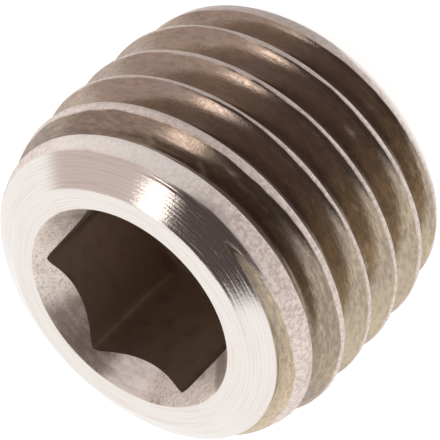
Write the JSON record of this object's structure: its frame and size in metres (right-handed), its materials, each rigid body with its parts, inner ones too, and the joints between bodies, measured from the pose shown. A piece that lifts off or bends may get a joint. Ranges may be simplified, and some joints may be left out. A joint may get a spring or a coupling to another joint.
{
  "type": "hex socket pipe plug",
  "caption": "Headless steel pipe plug with a tapered external thread and a hexagon socket, screwed in flush to seal a threaded port.",
  "frame": {"origin": "centre of the flat small end, on the axis", "axes": "+Z runs along the axis from the small end to the mouth of the socket; the hexagon has corners on +Y and -Y and flats on +X and -X"},
  "size_m": [0.0122, 0.0121, 0.01],
  "materials": {
    "steel": "plain tumbled steel with a thin film of oil; turned chamfers, a drilled socket and rolled flanks"
  },
  "bodies": {
    "root": {"plug": "steel"}
  },
  "joints": []
}
